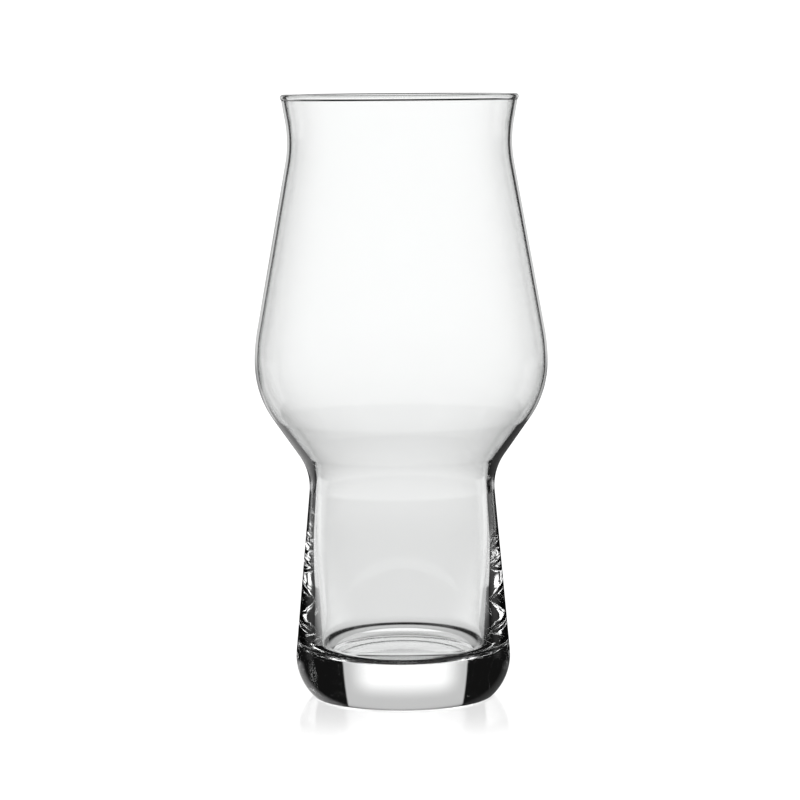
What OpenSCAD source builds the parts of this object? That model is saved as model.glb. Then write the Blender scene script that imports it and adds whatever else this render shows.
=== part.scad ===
// Tulip beer glass: a thin blown bowl fused at its waist to a thick pressed base.
// Millimetres. Both pieces turn about the Z axis, +Z is up, and the origin is on
// the table under the middle of the foot.

/* [Heights] */
// Height of the widest part of the base above the table
heel_h = 11.2; // [8:0.1:14]
// Height of the waist above the table, where the bowl is fused to the base
waist_h = 58; // [50:0.5:66]
// Rise from the waist to the widest part of the belly
belly_rise = 34.3; // [30:0.1:40]
// Rise from the belly to the narrowest part of the neck
neck_rise = 59.9; // [50:0.1:70]
// Rise from the neck to the top of the rim
rim_rise = 12.8; // [9:0.1:16]

/* [Diameters] */
// Outside diameter of the rim
rim_d = 64.8; // [62.5:0.1:70]
// Outside diameter of the neck
neck_d = 61.1; // [56:0.1:63]
// Outside diameter of the belly
belly_d = 80; // [74:0.1:86]
// Outside diameter of the waist
waist_d = 50.7; // [48:0.1:54]
// Outside diameter of the base at its widest
base_d = 58.9; // [56:0.1:64]

/* [Curves] */
// Radius of the hollow curve at the neck
neck_curve = 32.5; // [24:0.5:44]
// Radius of the belly's curve above its widest part
belly_upper_curve = 50; // [40:0.5:75]
// Radius of the belly's curve below its widest part
belly_lower_curve = 27; // [20:0.5:32]
// Radius of the hollow curve at the waist
waist_curve = 15.4; // [10:0.1:20]
// Radius of the base's round lower edge
heel_curve = 15; // [11:0.1:18]

/* [Walls] */
// Thickness of the fire-polished bead along the rim
rim_bead = 1.6; // [1.2:0.1:2.2]
// Radius of the hollow curve under the bead, on both sides of the wall
bead_hollow = 0.8; // [0.4:0.1:1.5]
// Wall thickness at the neck
neck_wall = 1.1; // [0.8:0.05:1.6]
// Wall thickness at the belly
belly_wall = 0.9; // [0.7:0.05:1.6]
// Wall thickness at the waist
waist_wall = 1.95; // [1.2:0.05:2.6]
// Wall thickness of the shaft where its bore is widest
shaft_wall = 2.9; // [2:0.05:4]
// Wall thickness of the base beside its floor
heel_wall = 6.5; // [5:0.1:8]
// Thickness of the solid glass under the middle of the floor
floor_thickness = 7.8; // [6:0.1:14]

/* [Bore] */
// Radius of the bore's hollow curve at the waist
bore_waist_curve = 14.5; // [10:0.1:20]
// Drop from the waist to where the bore of the shaft is widest
bore_drop = 18; // [12:0.5:26]
// Radius of the bore's swelling curve
bore_curve = 160; // [100:5:250]
// Radius of the corner between the bore and the floor
floor_corner = 4.2; // [3:0.1:8]
// Radius of the floor's shallow dish
floor_dish = 180; // [100:5:300]

/* [Foot] */
// How far the resting ring stays inside the widest part of the base
foot_inset = 5.6; // [4:0.1:8]
// Width of the flat ring that the glass rests on
ring_w = 4.2; // [2.5:0.1:6]
// Radius that softens both edges of the resting ring
ring_edge = 1.5; // [0.8:0.1:2]
// Depth of the hollow under the foot
punt_depth = 3; // [1:0.1:4]

/* [Hidden] */
// Names of the separate pieces

// Heights of the outline's stations above the table
waist_z = waist_h;
belly_z = waist_z + belly_rise;
neck_z = belly_z + neck_rise;
rim_z = neck_z + rim_rise;
bore_z = waist_z - bore_drop;
floor_z = punt_depth + floor_thickness;

// Outside radii of the stations
rim_r = rim_d / 2;
neck_r = neck_d / 2;
belly_r = belly_d / 2;
waist_r = waist_d / 2;
base_r = base_d / 2;
foot_r = base_r - foot_inset;
ring_r = foot_r - ring_w;

// Inside radii of the stations. The straight flare of the shaft gives the outside that the bore's
// wall is measured from.
shaft_r = waist_r + (base_r - waist_r) * bore_drop / (waist_z - heel_h);
neck_in_r = neck_r - neck_wall;
belly_in_r = belly_r - belly_wall;
waist_in_r = waist_r - waist_wall;
bore_r = shaft_r - shaft_wall;
corner_r = base_r - heel_wall - floor_corner;

// A curve so large that it limits no other
no_limit = 10000;

// Largest curve at a station that still meets a second circle, whose centre lies so far across and
// along from the station. A second circle that bends the other way has a negative radius.
function reach(across, along, circle) =
    let (room = across - circle)
    room > 0 ? (across * across + along * along - circle * circle) / (2 * room) : no_limit;

// The rim's bead and half of the wall under it, the floor's dish and the corner that touches the
// dish from inside
bead = rim_bead / 2;
bead_r = rim_r - bead;
bead_z = rim_z - bead;
lip = min(neck_wall, rim_bead) / 2;
dish_c = floor_z + floor_dish;
corner_z = dish_c - sqrt(pow(floor_dish - floor_corner, 2) - corner_r * corner_r);

// The curves of the outline, each no larger than the room between its neighbours
belly_in_curve = belly_lower_curve - belly_wall;
heel_bend = min(heel_curve, reach(foot_inset, heel_h - ring_edge, ring_edge));
waist_bend = min(waist_curve, reach(belly_r - belly_lower_curve - waist_r, belly_rise, -belly_lower_curve));
neck_bend = min(neck_curve, reach(bead_r - neck_r + lip, bead_z - neck_z, 0) - lip);
waist_in_bend =
    min(bore_waist_curve, reach(belly_in_r - belly_in_curve - waist_in_r, belly_rise, -belly_in_curve));
bore_bend = min(
    bore_curve,
    reach(bore_r - corner_r, bore_z - corner_z, floor_corner),
    reach(bore_r - waist_in_r - waist_in_bend, bore_drop, -waist_in_bend)
);

// The hollow under the foot is a dome that runs into the ring's round inner edge
punt_curve = (ring_r * ring_r + punt_depth * punt_depth) / (2 * punt_depth) - ring_edge;

// Under the rim the wall leans along the line that its middle takes from the neck to the bead. The
// hollow on each side touches both the wall and the bead.
lean = heading([neck_r + neck_bend, neck_z, -neck_bend - lip], [bead_r, bead_z, 0]);
hollow_drop = sqrt(pow(bead + bead_hollow, 2) - pow(lip + bead_hollow, 2));
hollow_out = lip + bead_hollow;
function hollow(side) =
    let (middle = [bead_r, bead_z] - hollow_drop * along(lean) + side * hollow_out * left(lean))
    [middle[0], middle[1], -bead_hollow];

// How far a drawn chord may leave its true arc, the widest angle that one chord spans, and the angle
// past which an arc counts as bent the wrong way
chord_error = 0.01;
chord_angle = 10;
full_wrap = 300;
$fn = 128;

// Circles that touch an upright line at a station, on the outside and on the inside of the glass.
// A positive curve swells there and a negative one draws in.
function outer(r, z, curve) = [r - curve, z, curve];
function inner(r, z, curve) = [r - curve, z, -curve];

// The section of the glass is a taut line round circles, [radius from the axis, height, curve]. It
// starts on the axis under the foot, climbs the outside, turns over the rim and comes down the
// inside to the floor. It turns left round a positive curve and right round a negative one.
OUTSIDE = [
    [0, punt_depth - punt_curve, -punt_curve],
    [ring_r, ring_edge, ring_edge],
    [foot_r, ring_edge, ring_edge],
    outer(base_r, heel_h, heel_bend),
    outer(waist_r, waist_z, -waist_bend),
    outer(belly_r, belly_z, belly_lower_curve),
    outer(belly_r, belly_z, belly_upper_curve),
    outer(neck_r, neck_z, -neck_bend)
];
RIM = [hollow(-1), [bead_r, bead_z, bead], hollow(1)];
INSIDE = [
    inner(neck_in_r, neck_z, -neck_bend - neck_wall),
    inner(belly_in_r, belly_z, belly_upper_curve - belly_wall),
    inner(belly_in_r, belly_z, belly_in_curve),
    inner(waist_in_r, waist_z, -waist_in_bend),
    inner(bore_r, bore_z, bore_bend),
    [corner_r, corner_z, -floor_corner],
    [0, dish_c, -floor_dish]
];
SECTION = concat(OUTSIDE, RIM, INSIDE);

// An angle brought into the range from 0 to 360 degrees
function turn(a) = a - 360 * floor(a / 360);

// Unit vectors along a heading and to the left of it
function along(heading) = [cos(heading), sin(heading)];
function left(heading) = [-sin(heading), cos(heading)];

// Heading of the straight line that leaves circle a and meets circle b, touching both
function heading(a, b) =
    let (across = [b[0] - a[0], b[1] - a[1]],
         slope = (b[2] - a[2]) / norm(across))
    atan2(across[1], across[0]) - asin(max(-1, min(1, slope)));

// Points along a circle's arc, from the heading on arrival to the heading on leaving. A line that
// bends away from the circle, which would have to go right round it, only touches it.
function arc(c, arrive, leave) =
    let (way = sign(c[2]),
         wrap = turn(way * (leave - arrive)),
         swing = wrap < full_wrap ? wrap : 0,
         step = min(chord_angle, 2 * acos(1 - chord_error / abs(c[2]))),
         chords = ceil(swing / step))
    [for (i = [0 : chords]) [c[0], c[1]] - c[2] * left(arrive + way * swing * i / max(1, chords))];

// Points of a taut line round a list of circles, for a start and an end heading
function taut(circles, start, end) =
    let (last = len(circles) - 1,
         headings = [for (i = [0 : last - 1]) heading(circles[i], circles[i + 1])])
    [for (i = [0 : last])
        each arc(circles[i], i == 0 ? start : headings[i - 1], i == last ? end : headings[i])];

// Half of the glass, cut along its axis: the line runs outwards from the axis and comes back to it
module half_section() {
    polygon(taut(SECTION, 0, 180));
}

// Everything between two heights, as a flat band to cut the section with
module band(from_z, to_z) {
    translate([0, from_z]) square([belly_r + rim_r, to_z - from_z]);
}

// Blown bowl: waist, belly, neck and rim
module bowl() {
    color([0.86, 0.9, 0.91, 0.45])
        rotate_extrude()
            intersection() {
                half_section();
                band(waist_z, rim_z + rim_bead);
            }
}

// Pressed base: thick shaft, floor and foot
module base() {
    color([0.78, 0.83, 0.85, 0.6])
        rotate_extrude()
            intersection() {
                half_section();
                band(0, waist_z);
            }
}

bowl();
base();
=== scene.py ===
"""Looks of a clear tulip beer glass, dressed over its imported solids.

A thin blown bowl is fused at its waist to a thick pressed base. Both are turned from one section line,
which runs tangent from curve to curve. The glass stands on a pale table in front of a bright panel, and
the dark of the studio draws its edges. Metres and degrees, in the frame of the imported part.
"""

import functools
import logging
import math
from dataclasses import dataclass
from enum import Enum
from typing import ClassVar, NamedTuple

import bpy
from bpy.types import Material, Node, NodeSocket, NodeTree, Object
from mathutils import Matrix, Vector


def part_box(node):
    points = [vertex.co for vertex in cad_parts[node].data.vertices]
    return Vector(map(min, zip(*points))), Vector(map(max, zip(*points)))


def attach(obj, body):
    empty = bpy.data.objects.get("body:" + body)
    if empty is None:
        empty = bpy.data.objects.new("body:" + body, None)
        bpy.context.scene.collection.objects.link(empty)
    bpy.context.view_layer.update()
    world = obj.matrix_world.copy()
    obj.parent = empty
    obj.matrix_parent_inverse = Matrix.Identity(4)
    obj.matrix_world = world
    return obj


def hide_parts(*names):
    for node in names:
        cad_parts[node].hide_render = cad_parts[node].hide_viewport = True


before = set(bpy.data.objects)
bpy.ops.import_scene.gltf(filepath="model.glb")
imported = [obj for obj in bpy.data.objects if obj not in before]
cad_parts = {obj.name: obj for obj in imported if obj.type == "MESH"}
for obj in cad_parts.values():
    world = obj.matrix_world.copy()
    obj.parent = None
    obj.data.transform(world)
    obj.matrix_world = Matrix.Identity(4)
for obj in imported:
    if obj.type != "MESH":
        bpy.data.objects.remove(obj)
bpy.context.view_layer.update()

MM = 0.001
LOG = logging.getLogger("tulip_glass")


class Turn(NamedTuple):
    """A circle that the section line runs round: to the left if its bend is positive, or else right."""

    r: float
    z: float
    bend: float


class SectionPoint(NamedTuple):
    """A point of the section line, with the direction that faces out of the glass there."""

    r: float
    z: float
    out_r: float
    out_z: float


class Heading(Enum):
    """Where the section line points, in degrees from straight out of the axis."""

    OUTWARD = 0
    UP = 90
    INWARD = 180
    DOWN = 270


class Forming(Enum):
    """How a part of the glass was formed, which sets how calm its surface is."""

    BLOWN = "blown"
    PRESSED = "pressed"


@dataclass(frozen=True)
class GlassSizes:
    """Sizes of the whole glass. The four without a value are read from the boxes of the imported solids."""

    waist_z: float
    rim_z: float
    belly_r: float
    base_r: float
    heel_z: float = 11.2 * MM
    belly_rise: float = 34.3 * MM
    rim_rise: float = 12.8 * MM
    rim_d: float = 64.8 * MM
    neck_d: float = 61.1 * MM
    waist_d: float = 50.7 * MM
    neck_curve: float = 32.5 * MM
    belly_upper_curve: float = 50 * MM
    belly_lower_curve: float = 27 * MM
    waist_curve: float = 15.4 * MM
    heel_curve: float = 15 * MM
    rim_bead: float = 1.6 * MM
    bead_hollow: float = 0.8 * MM
    neck_wall: float = 1.1 * MM
    belly_wall: float = 0.9 * MM
    waist_wall: float = 1.95 * MM
    shaft_wall: float = 2.9 * MM
    heel_wall: float = 6.5 * MM
    floor_thickness: float = 7.8 * MM
    bore_waist_curve: float = 14.5 * MM
    bore_drop: float = 18 * MM
    bore_curve: float = 160 * MM
    floor_corner: float = 4.2 * MM
    floor_dish: float = 180 * MM
    foot_inset: float = 5.6 * MM
    ring_w: float = 4.2 * MM
    ring_edge: float = 1.5 * MM
    punt_depth: float = 3 * MM

    @classmethod
    def from_frame(cls) -> "GlassSizes":
        """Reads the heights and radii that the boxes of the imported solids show.

        Returns:
            The sizes of the glass.
        """
        bowl_low, bowl_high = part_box("bowl")
        _, base_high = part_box("base")
        return cls(waist_z=bowl_low.z, rim_z=bowl_high.z, belly_r=bowl_high.x, base_r=base_high.x)


@dataclass(frozen=True)
class Section:
    """The section as circles for a taut line, from under the foot, over the rim, to the floor."""

    sizes: GlassSizes

    @property
    def belly_z(self) -> float:
        """Height of the widest part of the belly."""
        return self.sizes.waist_z + self.sizes.belly_rise

    @property
    def neck_z(self) -> float:
        """Height of the narrowest part of the neck."""
        return self.sizes.rim_z - self.sizes.rim_rise

    @property
    def waist_r(self) -> float:
        """Outside radius of the waist."""
        return self.sizes.waist_d / 2

    @property
    def neck_r(self) -> float:
        """Outside radius of the neck."""
        return self.sizes.neck_d / 2

    @staticmethod
    def outer(r: float, z: float, curve: float) -> Turn:
        """A circle that touches an upright line on the outside, and swells if its curve is positive."""
        return Turn(r - curve, z, curve)

    @staticmethod
    def inner(r: float, z: float, curve: float) -> Turn:
        """A circle that touches an upright line on the inside, and swells if its curve is positive."""
        return Turn(r - curve, z, -curve)

    def waist_outside(self) -> Turn:
        """The hollow curve of the waist, outside."""
        return self.outer(self.waist_r, self.sizes.waist_z, -self.sizes.waist_curve)

    def waist_inside(self) -> Turn:
        """The hollow curve of the waist, inside."""
        s = self.sizes
        return self.inner(self.waist_r - s.waist_wall, s.waist_z, -s.bore_waist_curve)

    def foot(self) -> list[Turn]:
        """The outside of the base, from the axis under the foot up to the waist.

        Returns:
            The circles of the hollow, the resting ring, the heel and the waist.
        """
        s = self.sizes
        foot_r = s.base_r - s.foot_inset
        ring_r = foot_r - s.ring_w
        punt_curve = (ring_r ** 2 + s.punt_depth ** 2) / (2 * s.punt_depth) - s.ring_edge
        return [
            Turn(0, s.punt_depth - punt_curve, -punt_curve),
            Turn(ring_r, s.ring_edge, s.ring_edge),
            Turn(foot_r, s.ring_edge, s.ring_edge),
            self.outer(s.base_r, s.heel_z, s.heel_curve),
            self.waist_outside(),
        ]

    def rim(self) -> list[Turn]:
        """The bead along the rim, with the hollow under it on both sides of the wall.

        Returns:
            The circles of the outer hollow, the bead and the inner hollow.
        """
        s = self.sizes
        lip = s.neck_wall / 2
        bead = Turn(s.rim_d / 2 - s.rim_bead / 2, s.rim_z - s.rim_bead / 2, s.rim_bead / 2)
        neck = Turn(self.neck_r + s.neck_curve, self.neck_z, -s.neck_curve - lip)
        lean = TautLine.heading(neck, bead._replace(bend=0))
        along = Vector((math.cos(lean), math.sin(lean)))
        left = Vector((-math.sin(lean), math.cos(lean)))
        aside = lip + s.bead_hollow
        middle = Vector(bead[:2]) - along * math.sqrt((bead.bend + s.bead_hollow) ** 2 - aside ** 2)
        return [
            Turn(*(middle - left * aside), -s.bead_hollow),
            bead,
            Turn(*(middle + left * aside), -s.bead_hollow),
        ]

    def bowl(self) -> list[Turn]:
        """The bowl, from the waist up the outside, over the rim and down the inside to the waist.

        Returns:
            The circles of the waist, the belly, the neck and the rim, outside and then inside.
        """
        s = self.sizes
        belly_in_r = s.belly_r - s.belly_wall
        return [
            self.waist_outside(),
            self.outer(s.belly_r, self.belly_z, s.belly_lower_curve),
            self.outer(s.belly_r, self.belly_z, s.belly_upper_curve),
            self.outer(self.neck_r, self.neck_z, -s.neck_curve),
            *self.rim(),
            self.inner(self.neck_r - s.neck_wall, self.neck_z, -s.neck_curve - s.neck_wall),
            self.inner(belly_in_r, self.belly_z, s.belly_upper_curve - s.belly_wall),
            self.inner(belly_in_r, self.belly_z, s.belly_lower_curve - s.belly_wall),
            self.waist_inside(),
        ]

    def bore(self) -> list[Turn]:
        """The inside of the base, from the waist down to the middle of the floor.

        Returns:
            The circles of the waist, the bore, the corner and the floor.
        """
        s = self.sizes
        flare = (s.base_r - self.waist_r) / (s.waist_z - s.heel_z)
        bore_r = self.waist_r + flare * s.bore_drop - s.shaft_wall
        corner_r = s.base_r - s.heel_wall - s.floor_corner
        dish_z = s.punt_depth + s.floor_thickness + s.floor_dish
        corner_z = dish_z - math.sqrt((s.floor_dish - s.floor_corner) ** 2 - corner_r ** 2)
        return [
            self.waist_inside(),
            self.inner(bore_r, s.waist_z - s.bore_drop, s.bore_curve),
            Turn(corner_r, corner_z, -s.floor_corner),
            Turn(0, dish_z, -s.floor_dish),
        ]


@dataclass(frozen=True)
class TautLine:
    """A line pulled taut round circles, with the headings that it starts and ends on."""

    turns: list[Turn]
    start: Heading
    end: Heading
    chord_error: float = 0.002 * MM
    widest_chord: float = math.radians(6)

    @staticmethod
    def heading(a: Turn, b: Turn) -> float:
        """Heading of the straight stretch that touches two circles.

        Args:
            a: The circle that the line leaves.
            b: The circle that it meets.

        Returns:
            The heading in radians, from straight out of the axis, turning upwards.
        """
        across, up = b.r - a.r, b.z - a.z
        slope = (b.bend - a.bend) / math.hypot(across, up)
        return math.atan2(up, across) - math.asin(max(-1, min(1, slope)))

    def arc(self, turn: Turn, arrive: float, leave: float) -> list[SectionPoint]:
        """Points along one circle, from the heading on arrival to the heading on leaving.

        Args:
            turn: The circle.
            arrive: Heading on arrival, in radians.
            leave: Heading on leaving, in radians.

        Returns:
            The points, each facing to the right of the line, which is out of the glass.
        """
        way = math.copysign(1, turn.bend)
        swing = (way * (leave - arrive)) % math.tau
        step = min(self.widest_chord, 2 * math.acos(1 - self.chord_error / abs(turn.bend)))
        chords = max(1, math.ceil(swing / step))
        points = []
        for i in range(chords + 1):
            heading = arrive + way * swing * i / chords
            out_r, out_z = math.sin(heading), -math.cos(heading)
            r, z = turn.r + turn.bend * out_r, turn.z + turn.bend * out_z
            points.append(SectionPoint(r, z, out_r, out_z))
        return points

    def points(self) -> list[SectionPoint]:
        """Points along the whole line.

        Returns:
            The points in order. Where two circles touch, that point comes twice, and turning merges it.
        """
        headings = [self.heading(a, b) for a, b in zip(self.turns, self.turns[1:])]
        arrivals = [math.radians(self.start.value), *headings]
        departures = [*headings, math.radians(self.end.value)]
        return [
            point
            for turn, arrive, leave in zip(self.turns, arrivals, departures)
            for point in self.arc(turn, arrive, leave)
        ]


class TurnedBody:
    """Geometry Nodes tree that turns a section line about Z into a closed body with true normals."""

    NAME = "turned_body"
    NORMAL = "out"
    MERGE = 0.0005 * MM
    INPUTS = {
        "Section": "NodeSocketGeometry",
        "Segments": "NodeSocketInt",
        "Joint Height": "NodeSocketFloat",
        "Glass": "NodeSocketMaterial",
        "Fused Joint": "NodeSocketMaterial",
    }

    def __init__(self) -> None:
        """Builds the tree and its named inputs."""
        self.tree = bpy.data.node_groups.new(self.NAME, "GeometryNodeTree")
        for name, kind in self.INPUTS.items():
            self.tree.interface.new_socket(name, in_out="INPUT", socket_type=kind)
        self.tree.interface.new_socket("Body", in_out="OUTPUT", socket_type="NodeSocketGeometry")
        self.given = self.node("NodeGroupInput")
        self.position = self.node("GeometryNodeInputPosition").outputs[0]
        self.out = self.node(
            "GeometryNodeInputNamedAttribute", {"Name": self.NORMAL}, data_type="FLOAT_VECTOR"
        ).outputs["Attribute"]
        self.wire()

    def node(self, kind: str, links: dict | None = None, **settings: object) -> Node:
        """Adds one node.

        Args:
            kind: The node's type name.
            links: Output sockets or plain values for its inputs, by name or place.
            **settings: The node's own options.

        Returns:
            The node.
        """
        node = self.tree.nodes.new(kind)
        for option, value in settings.items():
            setattr(node, option, value)
        for place, value in (links or {}).items():
            if isinstance(value, NodeSocket):
                self.tree.links.new(value, node.inputs[place])
            else:
                node.inputs[place].default_value = value
        return node

    def whole(self, operation: str, a: object, b: object) -> NodeSocket:
        """A whole number worked out from two others."""
        return self.node("FunctionNodeIntegerMath", {0: a, 1: b}, operation=operation).outputs[0]

    def real(self, operation: str, a: object, b: object) -> NodeSocket:
        """A real number worked out from two others."""
        return self.node("ShaderNodeMath", {0: a, 1: b}, operation=operation).outputs[0]

    def wire(self) -> None:
        """Joins the nodes: walls, smooth but for the joint, with true normals, and then their glass."""
        joint = self.on_joint("FACE")
        body = self.with_normals(self.creased(self.walls()), joint)
        plain = self.node("GeometryNodeRemoveAttribute", {"Geometry": body, "Name": self.NORMAL})
        solid = self.node("GeometryNodeRealizeInstances", {0: plain.outputs[0]})
        glass = self.node(
            "GeometryNodeSetMaterial",
            {"Geometry": solid.outputs[0], "Material": self.given.outputs["Glass"]},
        )
        passage = self.given.outputs["Fused Joint"]
        fused = self.node(
            "GeometryNodeSetMaterial",
            {"Geometry": glass.outputs[0], "Selection": joint, "Material": passage},
        )
        self.node("NodeGroupOutput", {"Body": fused.outputs[0]})

    def walls(self) -> NodeSocket:
        """Sets a grid round the axis, with rows along the section and columns round the glass.

        Returns:
            The closed walls, which face outwards and keep the section's own normals as an attribute.
        """
        section, segments = self.given.outputs["Section"], self.given.outputs["Segments"]
        line = self.node("GeometryNodeAttributeDomainSize", {0: section}, component="MESH")
        columns = self.whole("ADD", segments, 1)
        grid = self.node(
            "GeometryNodeMeshGrid", {"Vertices X": line.outputs["Point Count"], "Vertices Y": columns}
        )
        place = self.node("GeometryNodeInputIndex").outputs[0]
        row = self.whole("DIVIDE_FLOOR", place, columns)
        share = self.real("DIVIDE", self.whole("MODULO", place, columns), segments)
        angle = self.real("MULTIPLY", share, math.tau)
        facing = self.node(
            "GeometryNodeStoreNamedAttribute",
            {"Geometry": grid.outputs["Mesh"], "Name": self.NORMAL},
            data_type="FLOAT_VECTOR",
            domain="POINT",
        )
        self.tree.links.new(self.turned(self.out, row, angle), facing.inputs["Value"])
        shape = self.node(
            "GeometryNodeSetPosition",
            {"Geometry": facing.outputs["Geometry"], "Position": self.turned(self.position, row, angle)},
        )
        closed = self.node(
            "GeometryNodeMergeByDistance", {"Geometry": shape.outputs[0], "Distance": self.MERGE}
        )
        return self.node("GeometryNodeFlipFaces", {"Mesh": closed.outputs[0]}).outputs[0]

    def turned(self, value: NodeSocket, row: NodeSocket, angle: NodeSocket) -> NodeSocket:
        """A vector of the section's row, turned about Z to its place round the glass.

        Args:
            value: The vector on the section line.
            row: Place of the point along the line.
            angle: Angle round the axis, in radians.

        Returns:
            The turned vector.
        """
        sample = self.node(
            "GeometryNodeSampleIndex",
            {"Geometry": self.given.outputs["Section"], "Index": row},
            data_type="FLOAT_VECTOR",
            domain="POINT",
        )
        self.tree.links.new(value, sample.inputs["Value"])
        turn = {"Vector": sample.outputs["Value"], "Angle": angle}
        return self.node("ShaderNodeVectorRotate", turn, rotation_type="Z_AXIS").outputs["Vector"]

    def creased(self, walls: NodeSocket) -> NodeSocket:
        """Smooths the walls and keeps the edges of the joint sharp.

        Args:
            walls: The closed walls.

        Returns:
            The smoothed walls.
        """
        smooth = self.node("GeometryNodeSetShadeSmooth", {"Geometry": walls, "Shade Smooth": True})
        edges = {"Geometry": smooth.outputs[0], "Selection": self.on_joint("EDGE"), "Shade Smooth": False}
        return self.node("GeometryNodeSetShadeSmooth", edges, domain="EDGE").outputs[0]

    def on_joint(self, domain: str) -> NodeSocket:
        """Picks what lies flat at the joint's height.

        Args:
            domain: EDGE or FACE.

        Returns:
            The selection, one value an edge or a face.
        """
        height = self.node("ShaderNodeSeparateXYZ", {0: self.position}).outputs["Z"]
        level = self.node(
            "FunctionNodeCompare",
            {"A": height, "B": self.given.outputs["Joint Height"], "Epsilon": self.MERGE},
            data_type="FLOAT",
            operation="EQUAL",
        )
        flat = self.node("GeometryNodeFieldOnDomain", domain=domain, data_type="BOOLEAN")
        self.tree.links.new(level.outputs["Result"], flat.inputs[0])
        return flat.outputs[0]

    def with_normals(self, walls: NodeSocket, joint: NodeSocket) -> NodeSocket:
        """Gives the walls the section's own normals, so that light crosses the joint as through one glass.

        Args:
            walls: The smoothed walls.
            joint: Selection of the joint's flat faces, which keep the normals of their faces.

        Returns:
            The walls with their normals.
        """
        flat = self.node("GeometryNodeFieldOnDomain", domain="FACE", data_type="FLOAT_VECTOR")
        self.tree.links.new(self.node("GeometryNodeInputNormal").outputs[0], flat.inputs[0])
        pick = self.node("GeometryNodeSwitch", {"Switch": joint}, input_type="VECTOR")
        self.tree.links.new(self.out, pick.inputs["False"])
        self.tree.links.new(flat.outputs[0], pick.inputs["True"])
        normals = self.node("GeometryNodeSetMeshNormal", mode="FREE", domain="CORNER")
        self.tree.links.new(walls, normals.inputs["Mesh"])
        self.tree.links.new(pick.outputs[0], normals.inputs["Custom Normal"])
        return normals.outputs["Mesh"]

    def identifier(self, name: str) -> str:
        """The identifier of one of the tree's named inputs."""
        return next(i.identifier for i in self.tree.interface.items_tree if i.name == name)

    def body(self, name: str, line: list[SectionPoint], inputs: dict[str, object]) -> Object:
        """Turns a section line into a plain mesh object at the origin.

        Args:
            name: Name of the piece.
            line: Points of the section, in order.
            inputs: Values for the tree's named inputs.

        Returns:
            The finished piece.
        """
        outline = bpy.data.meshes.new(name + "_section")
        edges = [(i, i + 1) for i in range(len(line) - 1)]
        outline.from_pydata([(p.r, 0, p.z) for p in line], edges, [])
        facing = outline.attributes.new(self.NORMAL, "FLOAT_VECTOR", "POINT")
        facing.data.foreach_set("vector", [x for p in line for x in (p.out_r, 0, p.out_z)])
        turned = bpy.data.objects.new(name, outline)
        bpy.context.scene.collection.objects.link(turned)
        modifier = turned.modifiers.new(self.NAME, "NODES")
        modifier.node_group = self.tree
        for label, value in inputs.items():
            modifier[self.identifier(label)] = value
        evaluated = turned.evaluated_get(bpy.context.evaluated_depsgraph_get())
        mesh = bpy.data.meshes.new_from_object(evaluated)
        # The grid comes with an empty material slot, before the two that the tree adds
        mesh.materials.pop(index=0)
        turned.modifiers.remove(modifier)
        turned.data = mesh
        mesh.name = name
        bpy.data.meshes.remove(outline)
        return turned


class RippleGroup:
    """Shader group for the slow ripple that forming leaves on glass."""

    DETAIL = 1
    INPUTS = {"Point": "NodeSocketVector", "Waves": "NodeSocketFloat", "Depth": "NodeSocketFloat"}

    def __init__(self) -> None:
        """Builds the group, with a height in metres as its output."""
        self.group = bpy.data.node_groups.new("glass_ripple", "ShaderNodeTree")
        for name, kind in self.INPUTS.items():
            self.group.interface.new_socket(name, in_out="INPUT", socket_type=kind)
        self.group.interface.new_socket("Height", in_out="OUTPUT", socket_type="NodeSocketFloat")
        nodes, links = self.group.nodes, self.group.links
        given = nodes.new("NodeGroupInput")
        noise = nodes.new("ShaderNodeTexNoise")
        noise.inputs["Detail"].default_value = self.DETAIL
        depth = nodes.new("ShaderNodeMath")
        depth.operation = "MULTIPLY"
        result = nodes.new("NodeGroupOutput")
        links.new(given.outputs["Point"], noise.inputs["Vector"])
        links.new(given.outputs["Waves"], noise.inputs["Scale"])
        links.new(noise.outputs["Fac"], depth.inputs[0])
        links.new(given.outputs["Depth"], depth.inputs[1])
        links.new(depth.outputs[0], result.inputs["Height"])


@dataclass(frozen=True)
class ClearGlass:
    """Fire-polished clear glass. Ripples are waves per metre and a depth in metres."""

    forming: Forming
    waves: float
    depth: float
    ior: float = 1.5
    clarity: tuple[float, float, float] = (0.995, 1.0, 0.998)

    def material(self, ripple: RippleGroup) -> Material:
        """Makes the glass.

        Args:
            ripple: The shader group of the forming ripple.

        Returns:
            The material.
        """
        made = bpy.data.materials.new(f"clear_glass_{self.forming.value}")
        made.use_nodes = True
        nodes, links = made.node_tree.nodes, made.node_tree.links
        shader = nodes["Principled BSDF"]
        shader.inputs["Base Color"].default_value = (*self.clarity, 1)
        shader.inputs["Roughness"].default_value = 0
        shader.inputs["IOR"].default_value = self.ior
        shader.inputs["Transmission Weight"].default_value = 1
        place = nodes.new("ShaderNodeTexCoord")
        waves = nodes.new("ShaderNodeGroup")
        waves.node_tree = ripple.group
        waves.inputs["Waves"].default_value = self.waves
        waves.inputs["Depth"].default_value = self.depth
        # The ripple's height is in metres already, so the bump takes it as it is
        bump = nodes.new("ShaderNodeBump")
        bump.inputs["Distance"].default_value = 1
        links.new(place.outputs["Object"], waves.inputs["Point"])
        links.new(waves.outputs["Height"], bump.inputs["Height"])
        links.new(bump.outputs["Normal"], shader.inputs["Normal"])
        return made


@dataclass(frozen=True)
class FusedJoint:
    """The faces where bowl and base are fused: no surface is left there, so light passes straight on."""

    alpha: float = 0

    def material(self) -> Material:
        """Makes the clear passage.

        Returns:
            The material.
        """
        made = bpy.data.materials.new("fused_joint")
        made.use_nodes = True
        made.node_tree.nodes["Principled BSDF"].inputs["Alpha"].default_value = self.alpha
        return made


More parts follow.
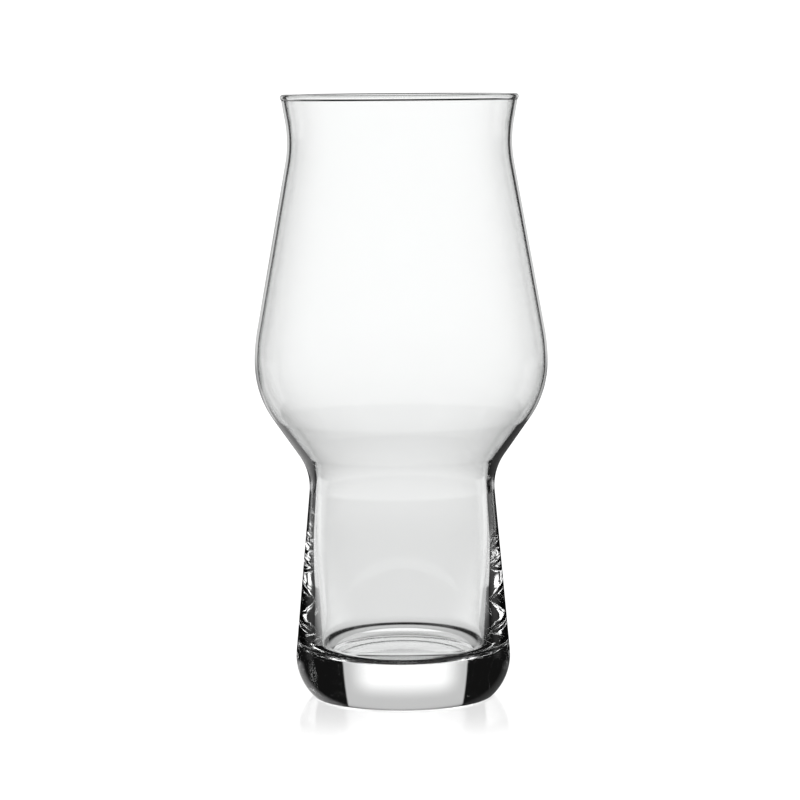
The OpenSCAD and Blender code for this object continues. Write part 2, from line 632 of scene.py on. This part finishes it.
@dataclass
class GlassPiece:
    """One of the two pieces of the glass, turned from its own stretch of the section."""

    name: str
    node: str
    section: Section
    glass: Material
    joint: Material
    segments: int = 320
    slot: str = "clear_glass"

    def line(self) -> list[SectionPoint]:
        """The piece's stretch of the section line."""
        raise NotImplementedError

    def build(self, turner: TurnedBody) -> Object:
        """Turns the piece and fixes it to the glass's body.

        Args:
            turner: The tree that turns section lines.

        Returns:
            The finished piece.
        """
        inputs = {
            "Segments": self.segments,
            "Joint Height": self.section.sizes.waist_z,
            "Glass": self.glass,
            "Fused Joint": self.joint,
        }
        piece = turner.body(self.name, self.line(), inputs)
        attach(piece, "root")
        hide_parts(self.node)
        return piece


class Bowl(GlassPiece):
    """The thin blown bowl: waist, belly, neck and rim."""

    def line(self) -> list[SectionPoint]:
        """The bowl's line, up the outside and down the inside, closed by the flat ring at the waist."""
        points = TautLine(self.section.bowl(), Heading.UP, Heading.DOWN).points()
        return [*points, points[0]]


class Base(GlassPiece):
    """The thick pressed base: shaft, floor and foot."""

    def line(self) -> list[SectionPoint]:
        """The base's line, up the outside, across the flat ring at the waist and down to the floor.

        Returns:
            The points of the line.
        """
        outside = TautLine(self.section.foot(), Heading.OUTWARD, Heading.UP).points()
        inside = TautLine(self.section.bore(), Heading.DOWN, Heading.INWARD).points()
        return [*outside, *inside]


class Span(NamedTuple):
    """A span of angles, in degrees, and how soft each of its ends is."""

    low: float
    high: float
    low_soft: float
    high_soft: float


class Card(NamedTuple):
    """A soft card of light, by its angles as seen from the glass. Azimuth 0 is straight behind it."""

    azimuth: Span
    elevation: Span
    light: float


@dataclass(frozen=True)
class Signal:
    """One number in a shader tree, which sums and products are written with."""

    tree: NodeTree
    socket: NodeSocket

    def apply(self, operation: str, other: "Signal | float" = 0) -> "Signal":
        """Puts this number through one of the shader's operations.

        Args:
            operation: Name of the operation.
            other: The second number, where the operation takes two.

        Returns:
            The result.
        """
        node = self.tree.nodes.new("ShaderNodeMath")
        node.operation = operation
        self.tree.links.new(self.socket, node.inputs[0])
        if isinstance(other, Signal):
            self.tree.links.new(other.socket, node.inputs[1])
        else:
            node.inputs[1].default_value = other
        return Signal(self.tree, node.outputs[0])

    def __add__(self, other: "Signal | float") -> "Signal":
        """Sum of two numbers."""
        return self.apply("ADD", other)

    def __mul__(self, other: "Signal | float") -> "Signal":
        """Product of two numbers."""
        return self.apply("MULTIPLY", other)

    def over(self, other: "Signal | float") -> "Signal":
        """The larger of two numbers."""
        return self.apply("MAXIMUM", other)

    def rest(self) -> "Signal":
        """What this number leaves of 1."""
        return self * -1 + 1

    def at_least(self, count: int) -> "Signal":
        """1 where this whole number reaches a count, and 0 elsewhere."""
        return self.apply("GREATER_THAN", count - 0.5)

    def none(self) -> "Signal":
        """1 where this whole number is 0, and 0 elsewhere."""
        return self.apply("LESS_THAN", 0.5)

    def ramp(self, start: float, end: float) -> "Signal":
        """A soft step.

        Args:
            start: Where the result is 0.
            end: Where the result is 1, on either side of the start.

        Returns:
            The step, from 0 to 1.
        """
        node = self.tree.nodes.new("ShaderNodeMapRange")
        node.interpolation_type = "SMOOTHSTEP"
        rising = start < end
        node.inputs["From Min"].default_value = min(start, end)
        node.inputs["From Max"].default_value = max(start, end)
        node.inputs["To Min"].default_value = 0 if rising else 1
        node.inputs["To Max"].default_value = 1 if rising else 0
        self.tree.links.new(self.socket, node.inputs["Value"])
        return Signal(self.tree, node.outputs["Result"])

    def within(self, span: Span) -> "Signal":
        """1 inside a span of angles and 0 outside it, with soft ends."""
        rise = self.ramp(span.low - span.low_soft, span.low + span.low_soft)
        return rise * self.ramp(span.high + span.high_soft, span.high - span.high_soft)


class Rays:
    """The rays that end in the studio: where each one points, and which way it took through the glass.

    A way is 1 for the rays that took it and 0 for all others.
    """

    # Surfaces that a ray crosses on its way through both walls
    BOTH_WALLS = 4
    SENSES = (
        "Is Camera Ray",
        "Is Glossy Ray",
        "Is Singular Ray",
        "Is Transmission Ray",
        "Glossy Depth",
        "Transmission Depth",
    )

    def __init__(self, tree: NodeTree) -> None:
        """Adds the nodes that tell the rays apart.

        Args:
            tree: The shader tree of the world.
        """
        place = tree.nodes.new("ShaderNodeTexCoord")
        axes = tree.nodes.new("ShaderNodeSeparateXYZ")
        tree.links.new(place.outputs["Generated"], axes.inputs[0])
        x, y, z = (Signal(tree, socket) for socket in axes.outputs)
        self.azimuth = x.apply("ARCTAN2", y) * math.degrees(1)
        self.elevation = z.apply("ARCSINE") * math.degrees(1)
        path = tree.nodes.new("ShaderNodeLightPath").outputs
        senses = (Signal(tree, path[name]) for name in self.SENSES)
        seen, glossy, sharp, leaving, mirrors, surfaces = senses
        # Mirrored off the outside, or straight through the glass
        self.mirrored = surfaces.none() * sharp
        self.direct = mirrors.none() * leaving
        # Through enough surfaces for both walls
        self.across = surfaces.at_least(self.BOTH_WALLS)
        # Turned round in the glass once or more, the same inside one wall, and twice or more
        self.bounced = mirrors.at_least(1) * leaving
        self.in_wall = self.bounced * self.across.rest()
        self.twice = mirrors.at_least(2) * leaving
        # Straight from the camera, or off the soft sheen of the table
        self.open = (glossy + sharp * -1).over(seen)

    def lit(self, cards: tuple[Card, ...]) -> Signal:
        """Light of some cards together, by the direction of each ray.

        Args:
            cards: The cards.

        Returns:
            The sum of their light.
        """
        lights = [
            self.azimuth.within(card.azimuth) * self.elevation.within(card.elevation) * card.light
            for card in cards
        ]
        return functools.reduce(Signal.__add__, lights)


@dataclass(frozen=True)
class StudioLight:
    """The light round the glass, as soft cards. Each way through the glass sees cards of its own."""

    # Azimuths end at 180, so a span that goes past that has no soft end at the back
    ALL_ROUND: ClassVar[Span] = Span(-200, 200, 8, 8)
    PANEL_WIDTH: ClassVar[Span] = Span(-26, 24, 0.6, 0.6)
    FLAG_WIDTH: ClassVar[Span] = Span(-40, 40, 4, 4)
    EDGE_HEIGHT: ClassVar[Span] = Span(-33, -8, 8, 4)
    MIRRORED_HEIGHT: ClassVar[Span] = Span(-5, 17.2, 1.5, 1.3)
    MIRRORED_LOW: ClassVar[Span] = Span(-50, -11, 4, 1.5)
    SIDE_HEIGHT: ClassVar[Span] = Span(-60, 8, 4, 4)
    BACK_HEIGHT: ClassVar[Span] = Span(-60, -5, 4, 4)
    # The bright panel: its sheet, its brighter middle, its lower part, and the two edges of that
    behind: tuple[Card, ...] = (
        Card(PANEL_WIDTH, Span(-8, 17.2, 5, 1.3), 0.6),
        Card(Span(-19, 17, 6, 6), Span(-8, 10.5, 5, 3.5), 0.56),
        Card(PANEL_WIDTH, Span(-33, -8, 8, 5), 0.87),
        Card(Span(-26, -10, 0.6, 5), EDGE_HEIGHT, 0.14),
        Card(Span(9, 24, 5, 0.6), EDGE_HEIGHT, 0.14),
    )
    # Under the panel, for rays through both walls: a sheet and its brighter lower edge
    below: tuple[Card, ...] = (
        Card(PANEL_WIDTH, Span(-54, -33, 1.5, 8), 0.6),
        Card(PANEL_WIDTH, Span(-54, -50, 1.5, 1), 0.5),
    )
    # Dark flags, which take light away from rays through both walls: one low and one high
    flags: tuple[Card, ...] = (
        Card(FLAG_WIDTH, Span(-39.4, -35, 1.2, 1), 0.97),
        Card(FLAG_WIDTH, Span(8.5, 45, 2.5, 2), 0.97),
    )
    # What the outside mirrors: the panel, a card on each side of it, and two low ones
    around: tuple[Card, ...] = (
        Card(Span(-24, 22, 1, 1), MIRRORED_HEIGHT, 0.5),
        Card(Span(-64, -34, 8, 1.5), MIRRORED_HEIGHT, 0.55),
        Card(Span(32, 62, 1.5, 8), MIRRORED_HEIGHT, 0.55),
        Card(Span(-40, -1, 8, 3), MIRRORED_LOW, 0.6),
        Card(Span(1, 40, 3, 8), MIRRORED_LOW, 0.12),
    )
    # Straight through the glass: two cards beside the panel, then pairs further round, and one below
    beside: tuple[Card, ...] = (
        Card(Span(-60, -25, 3, 1), Span(-62, -14, 4, 3), 1.0),
        Card(Span(23, 42, 1, 4), Span(-34, -16, 3, 3), 0.7),
        Card(Span(-103, -77, 4, 4), SIDE_HEIGHT, 1.12),
        Card(Span(77, 103, 4, 4), SIDE_HEIGHT, 1.12),
        Card(Span(-151, -119, 6, 6), BACK_HEIGHT, 1.12),
        Card(Span(119, 151, 6, 6), BACK_HEIGHT, 1.12),
        Card(Span(-200, -164, 8, 5), BACK_HEIGHT, 1.12),
        Card(Span(164, 200, 5, 8), BACK_HEIGHT, 1.12),
        Card(ALL_ROUND, Span(-100, -64, 4, 5), 1.0),
    )
    # For rays turned round inside one wall: the panel and a card on each side of it
    in_walls: tuple[Card, ...] = (
        Card(Span(-21.5, 19.5, 2, 2), Span(-13, 17.2, 3, 1.3), 0.7),
        Card(Span(-64, -36, 4, 1.5), Span(-24.7, -4, 0.5, 2), 0.9),
        Card(Span(42, 66, 1.5, 4), Span(-24.4, -4, 0.6, 2), 0.9),
    )
    # For all rays that were turned round in the glass
    overhead: tuple[Card, ...] = (Card(Span(-70, 70, 8, 8), Span(42, 75, 2, 6), 1.1),)
    # For rays turned round twice or more: overhead, two on the camera's side, and one low behind
    sparkles: tuple[Card, ...] = (
        Card(ALL_ROUND, Span(42, 100, 2, 6), 1.1),
        Card(Span(-176, -152, 3, 3), Span(8, 22, 2, 2), 1.0),
        Card(Span(152, 172, 3, 3), Span(0, 14, 2, 2), 0.7),
        Card(Span(-2, 26, 4, 4), Span(-37, -19, 3, 3), 0.45),
    )
    # What sparkles gain inside one wall, in times their own light, the white round the glass, and the dark
    glint: float = 2
    backdrop: float = 1.15
    dark: float = 0.006

    def build(self) -> None:
        """Makes the world that lights the glass."""
        world = bpy.data.worlds.new("studio")
        bpy.context.scene.world = world
        world.use_nodes = True
        world.cycles.sampling_method = "NONE"
        tree = world.node_tree
        tree.nodes.clear()
        total = self.total(Rays(tree))
        light = tree.nodes.new("ShaderNodeBackground")
        result = tree.nodes.new("ShaderNodeOutputWorld")
        tree.links.new(total.socket, light.inputs["Color"])
        tree.links.new(light.outputs[0], result.inputs[0])

    def total(self, rays: Rays) -> Signal:
        """Picks the brightest of what each ray sees.

        Args:
            rays: The rays that end in the studio.

        Returns:
            The light that each ray brings.
        """
        shade = (rays.lit(self.flags) * rays.across).rest()
        panel = rays.lit(self.behind) + rays.lit(self.below) * rays.across
        sparkle = rays.twice * (rays.in_wall * self.glint + 1)
        sights = (
            panel * shade * rays.in_wall.over(rays.mirrored).rest(),
            rays.lit(self.around) * rays.mirrored,
            rays.lit(self.beside) * rays.direct,
            rays.lit(self.in_walls) * rays.in_wall,
            rays.lit(self.overhead) * rays.bounced,
            rays.lit(self.sparkles) * sparkle,
            rays.open * self.backdrop,
        )
        return functools.reduce(Signal.over, sights).over(self.dark)


@dataclass(frozen=True)
class PaleTable:
    """Pale table top, with a faint sheen round the foot of the glass that fades further out."""

    light: float = 1.15
    sheen: float = 0.36
    roughness: float = 0.1
    sheen_from: float = 24 * MM
    sheen_to: float = 85 * MM

    def material(self) -> Material:
        """Makes the finish, which only the camera sees. The glass sees the studio's light through it.

        Returns:
            The material.
        """
        made = bpy.data.materials.new("pale_table")
        made.use_nodes = True
        nodes, links = made.node_tree.nodes, made.node_tree.links
        nodes.clear()
        pale = nodes.new("ShaderNodeEmission")
        pale.inputs["Strength"].default_value = self.light
        sheen = nodes.new("ShaderNodeBsdfGlossy")
        sheen.inputs["Roughness"].default_value = self.roughness
        table = nodes.new("ShaderNodeMixShader")
        place = nodes.new("ShaderNodeTexCoord")
        away = nodes.new("ShaderNodeVectorMath")
        away.operation = "LENGTH"
        links.new(place.outputs["Object"], away.inputs[0])
        fade = Signal(made.node_tree, away.outputs["Value"]).ramp(self.sheen_to, self.sheen_from)
        links.new((fade * self.sheen).socket, table.inputs["Fac"])
        links.new(pale.outputs[0], table.inputs[1])
        links.new(sheen.outputs[0], table.inputs[2])
        beyond = nodes.new("ShaderNodeBsdfTransparent")
        seen = nodes.new("ShaderNodeLightPath")
        shown = nodes.new("ShaderNodeMixShader")
        result = nodes.new("ShaderNodeOutputMaterial")
        links.new(seen.outputs["Is Camera Ray"], shown.inputs["Fac"])
        links.new(beyond.outputs[0], shown.inputs[1])
        links.new(table.outputs[0], shown.inputs[2])
        links.new(shown.outputs[0], result.inputs["Surface"])
        return made


@dataclass(frozen=True)
class TableTop:
    """The round table top, a hair under the foot of the glass."""

    radius: float = 6
    drop: float = 0.01 * MM
    corners: int = 128

    def build(self, finish: Material) -> None:
        """Lays the table top.

        Args:
            finish: The material of the table.
        """
        ring = [math.tau * i / self.corners for i in range(self.corners)]
        rim = [(self.radius * math.cos(a), self.radius * math.sin(a), -self.drop) for a in ring]
        mesh = bpy.data.meshes.new("floor")
        mesh.from_pydata(rim, [], [range(self.corners)])
        mesh.materials.append(finish)
        top = bpy.data.objects.new("floor", mesh)
        bpy.context.scene.collection.objects.link(top)


@dataclass(frozen=True)
class LongLens:
    """The camera, a long lens a little above the rim. Its frame and focal length are in pixels."""

    frame_px: float = 800
    focal_px: float = 3289.9
    sensor_mm: float = 36
    nearest: float = 0.01
    place: tuple[float, float, float] = (-0.0004, -0.8958, 0.1725)
    pitch: float = 5.795
    roll: float = -0.42

    def build(self) -> None:
        """Sets up the camera and makes it the scene's own."""
        lens = bpy.data.cameras.new("camera")
        lens.sensor_width = self.sensor_mm
        lens.lens = self.focal_px / self.frame_px * self.sensor_mm
        lens.clip_start = self.nearest
        view = bpy.data.objects.new("camera", lens)
        bpy.context.scene.collection.objects.link(view)
        # A new camera looks straight down, so a quarter turn makes it level
        pitch = Matrix.Rotation(math.radians(90 - self.pitch), 4, "X")
        roll = Matrix.Rotation(math.radians(self.roll), 4, "Z")
        view.matrix_world = Matrix.Translation(self.place) @ pitch @ roll
        bpy.context.scene.camera = view


@dataclass(frozen=True)
class Exposure:
    """How many surfaces light is followed through, and how its colours are shown."""

    bounces: int = 24
    clear_bounces: int = 16
    colours: str = "Standard"

    def apply(self) -> None:
        """Lets light pass through many walls of glass, and keeps white as white."""
        scene = bpy.context.scene
        scene.view_settings.view_transform = self.colours
        scene.cycles.max_bounces = self.bounces
        scene.cycles.glossy_bounces = self.bounces
        scene.cycles.transmission_bounces = self.bounces
        scene.cycles.transparent_max_bounces = self.clear_bounces
        scene.cycles.caustics_reflective = True
        scene.cycles.caustics_refractive = True
        scene.cycles.blur_glossy = 0


def main() -> None:
    """Builds the glass and the studio round it."""
    logging.basicConfig(level=logging.INFO, format="%(name)s: %(message)s")
    section = Section(GlassSizes.from_frame())
    ripple = RippleGroup()
    blown = ClearGlass(Forming.BLOWN, waves=60, depth=0.001 * MM).material(ripple)
    pressed = ClearGlass(Forming.PRESSED, waves=90, depth=0.004 * MM).material(ripple)
    joint = FusedJoint().material()
    turner = TurnedBody()
    for part in (
        Bowl("bowl_glass", "bowl", section, blown, joint),
        Base("base_glass", "base", section, pressed, joint),
    ):
        piece = part.build(turner)
        LOG.info("%s: %d faces", piece.name, len(piece.data.polygons))
    StudioLight().build()
    TableTop().build(PaleTable().material())
    LongLens().build()
    Exposure().apply()


if __name__ == "__main__":
    main()
